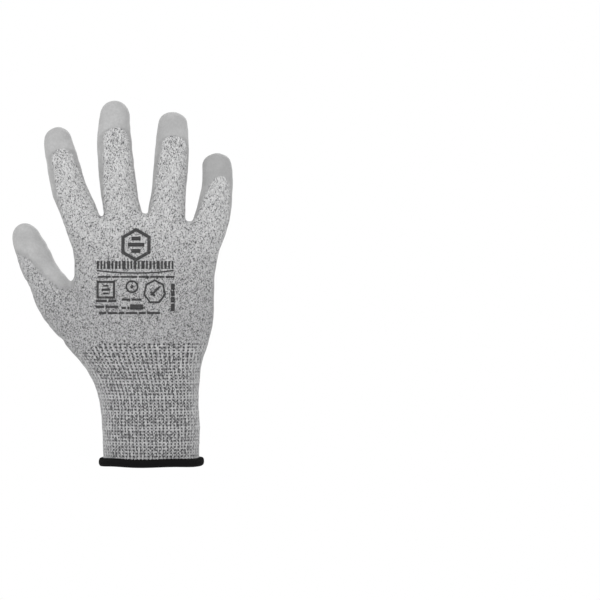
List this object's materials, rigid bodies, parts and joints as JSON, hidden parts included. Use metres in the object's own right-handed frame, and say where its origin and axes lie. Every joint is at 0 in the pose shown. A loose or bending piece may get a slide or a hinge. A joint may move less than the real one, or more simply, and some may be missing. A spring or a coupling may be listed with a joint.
{
  "type": "cut resistant glove",
  "caption": "Knitted work glove for the right hand with a long rib cuff, bound hem, coated palm and fingertips, and hinged fingers, thumb and wrist.",
  "frame": {"origin": "centre of the cuff's mouth, in the plane of the hem's lower edge", "axes": "+Z from the cuff to the fingertips, -Y out of the back of the hand, +Y out of the palm, the thumb towards -X"},
  "size_m": [0.1532, 0.0472, 0.2607],
  "materials": {
    "knit": "light grey melange plain knit with short dark flecks",
    "rib_knit": "grey rib knit with a regular grid of dark openings",
    "coating": "matte grey polyurethane film that follows the knit beneath it",
    "binding": "black overlock yarn with a soft sheen",
    "elastic": "pale covered elastic yarn",
    "print": "near-black transfer print"
  },
  "bodies": {
    "cuff": {"hem_binding": "binding", "cuff_rib": "rib_knit", "cuff_elastic_yarn": "elastic", "wrist_fold": "rib_knit"},
    "hand": {"gauntlet_rib": "rib_knit", "hand_knit": "knit", "palm_coating": "coating", "back_print": "print"},
    "index_lower": {"index_lower_knit": "knit", "index_lower_coating": "coating", "index_mcp_fold": "knit"},
    "index_middle": {"index_middle_knit": "knit", "index_middle_coating": "coating", "index_pip_fold": "knit"},
    "index_tip": {"index_tip_knit": "knit", "index_tip_coating": "coating", "index_dip_fold": "knit"},
    "middle_lower": {"middle_lower_knit": "knit", "middle_lower_coating": "coating", "middle_mcp_fold": "knit"},
    "middle_middle": {"middle_middle_knit": "knit", "middle_middle_coating": "coating", "middle_pip_fold": "knit"},
    "middle_tip": {"middle_tip_knit": "knit", "middle_tip_coating": "coating", "middle_dip_fold": "knit"},
    "ring_lower": {"ring_lower_knit": "knit", "ring_lower_coating": "coating", "ring_mcp_fold": "knit"},
    "ring_middle": {"ring_middle_knit": "knit", "ring_middle_coating": "coating", "ring_pip_fold": "knit"},
    "ring_tip": {"ring_tip_knit": "knit", "ring_tip_coating": "coating", "ring_dip_fold": "knit"},
    "little_lower": {"little_lower_knit": "knit", "little_lower_coating": "coating", "little_mcp_fold": "knit"},
    "little_middle": {"little_middle_knit": "knit", "little_middle_coating": "coating", "little_pip_fold": "knit"},
    "little_tip": {"little_tip_knit": "knit", "little_tip_coating": "coating", "little_dip_fold": "knit"},
    "thumb_lower": {"thumb_lower_knit": "knit", "thumb_lower_coating": "coating", "thumb_mcp_fold": "knit"},
    "thumb_tip": {"thumb_tip_knit": "knit", "thumb_tip_coating": "coating", "thumb_ip_fold": "knit"}
  },
  "joints": [
    {"name": "wrist_bend", "type": "hinge", "parent": "cuff", "child": "hand", "pos_m": [0, 0, 0.06], "axis": [-1, 0, 0], "range_deg": [-45, 50], "stiffness_Nm_per_rad": 0.4, "deforming": ["wrist_fold"]},
    {"name": "index_mcp_bend", "type": "hinge", "parent": "hand", "child": "index_lower", "pos_m": [-0.05257, 0.00083, 0.18716], "axis": [-0.9681, 0, -0.2504], "range_deg": [-10, 60], "stiffness_Nm_per_rad": 0.025, "deforming": ["index_mcp_fold"]},
    {"name": "index_pip_bend", "type": "hinge", "parent": "index_lower", "child": "index_middle", "pos_m": [-0.05756, 0.00257, 0.20645], "axis": [-0.9681, 0, -0.2504], "range_deg": [0, 75], "stiffness_Nm_per_rad": 0.012, "deforming": ["index_pip_fold"]},
    {"name": "index_dip_bend", "type": "hinge", "parent": "index_middle", "child": "index_tip", "pos_m": [-0.06217, 0.00418, 0.22429], "axis": [-0.9681, 0, -0.2504], "range_deg": [0, 45], "stiffness_Nm_per_rad": 0.006, "deforming": ["index_dip_fold"]},
    {"name": "middle_mcp_bend", "type": "hinge", "parent": "hand", "child": "middle_lower", "pos_m": [-0.02033, 0.0007, 0.18824], "axis": [-0.9965, 0, -0.0837], "range_deg": [-10, 60], "stiffness_Nm_per_rad": 0.025, "deforming": ["middle_mcp_fold"]},
    {"name": "middle_pip_bend", "type": "hinge", "parent": "middle_lower", "child": "middle_middle", "pos_m": [-0.02234, 0.00237, 0.2121], "axis": [-0.9965, 0, -0.0837], "range_deg": [0, 80], "stiffness_Nm_per_rad": 0.012, "deforming": ["middle_pip_fold"]},
    {"name": "middle_dip_bend", "type": "hinge", "parent": "middle_middle", "child": "middle_tip", "pos_m": [-0.02434, 0.00405, 0.23596], "axis": [-0.9965, 0, -0.0837], "range_deg": [0, 45], "stiffness_Nm_per_rad": 0.006, "deforming": ["middle_dip_fold"]},
    {"name": "ring_mcp_bend", "type": "hinge", "parent": "hand", "child": "ring_lower", "pos_m": [0.01161, 0.00083, 0.18694], "axis": [-0.9979, 0, 0.0645], "range_deg": [-10, 60], "stiffness_Nm_per_rad": 0.025, "deforming": ["ring_mcp_fold"]},
    {"name": "ring_pip_bend", "type": "hinge", "parent": "ring_lower", "child": "ring_middle", "pos_m": [0.01299, 0.0027, 0.20832], "axis": [-0.9979, 0, 0.0645], "range_deg": [0, 80], "stiffness_Nm_per_rad": 0.012, "deforming": ["ring_pip_fold"]},
    {"name": "ring_dip_bend", "type": "hinge", "parent": "ring_middle", "child": "ring_tip", "pos_m": [0.01434, 0.00453, 0.22919], "axis": [-0.9979, 0, 0.0645], "range_deg": [0, 45], "stiffness_Nm_per_rad": 0.006, "deforming": ["ring_dip_fold"]},
    {"name": "little_mcp_bend", "type": "hinge", "parent": "hand", "child": "little_lower", "pos_m": [0.04236, 0.00097, 0.18037], "axis": [-0.991, 0, 0.134], "range_deg": [-10, 50], "stiffness_Nm_per_rad": 0.025, "deforming": ["little_mcp_fold"]},
    {"name": "little_pip_bend", "type": "hinge", "parent": "little_lower", "child": "little_middle", "pos_m": [0.04442, 0.00286, 0.19562], "axis": [-0.991, 0, 0.134], "range_deg": [0, 65], "stiffness_Nm_per_rad": 0.012, "deforming": ["little_pip_fold"]},
    {"name": "little_dip_bend", "type": "hinge", "parent": "little_middle", "child": "little_tip", "pos_m": [0.04629, 0.00457, 0.20938], "axis": [-0.991, 0, 0.134], "range_deg": [0, 40], "stiffness_Nm_per_rad": 0.006, "deforming": ["little_dip_fold"]},
    {"name": "thumb_mcp_bend", "type": "hinge", "parent": "hand", "child": "thumb_lower", "pos_m": [-0.07416, 0.00584, 0.1353], "axis": [-0.6196, 0.7032, -0.3487], "range_deg": [-10, 45], "stiffness_Nm_per_rad": 0.025, "deforming": ["thumb_mcp_fold"]},
    {"name": "thumb_ip_bend", "type": "hinge", "parent": "thumb_lower", "child": "thumb_tip", "pos_m": [-0.08166, 0.00782, 0.15264], "axis": [-0.6196, 0.7032, -0.3487], "range_deg": [0, 60], "stiffness_Nm_per_rad": 0.012, "deforming": ["thumb_ip_fold"]}
  ]
}
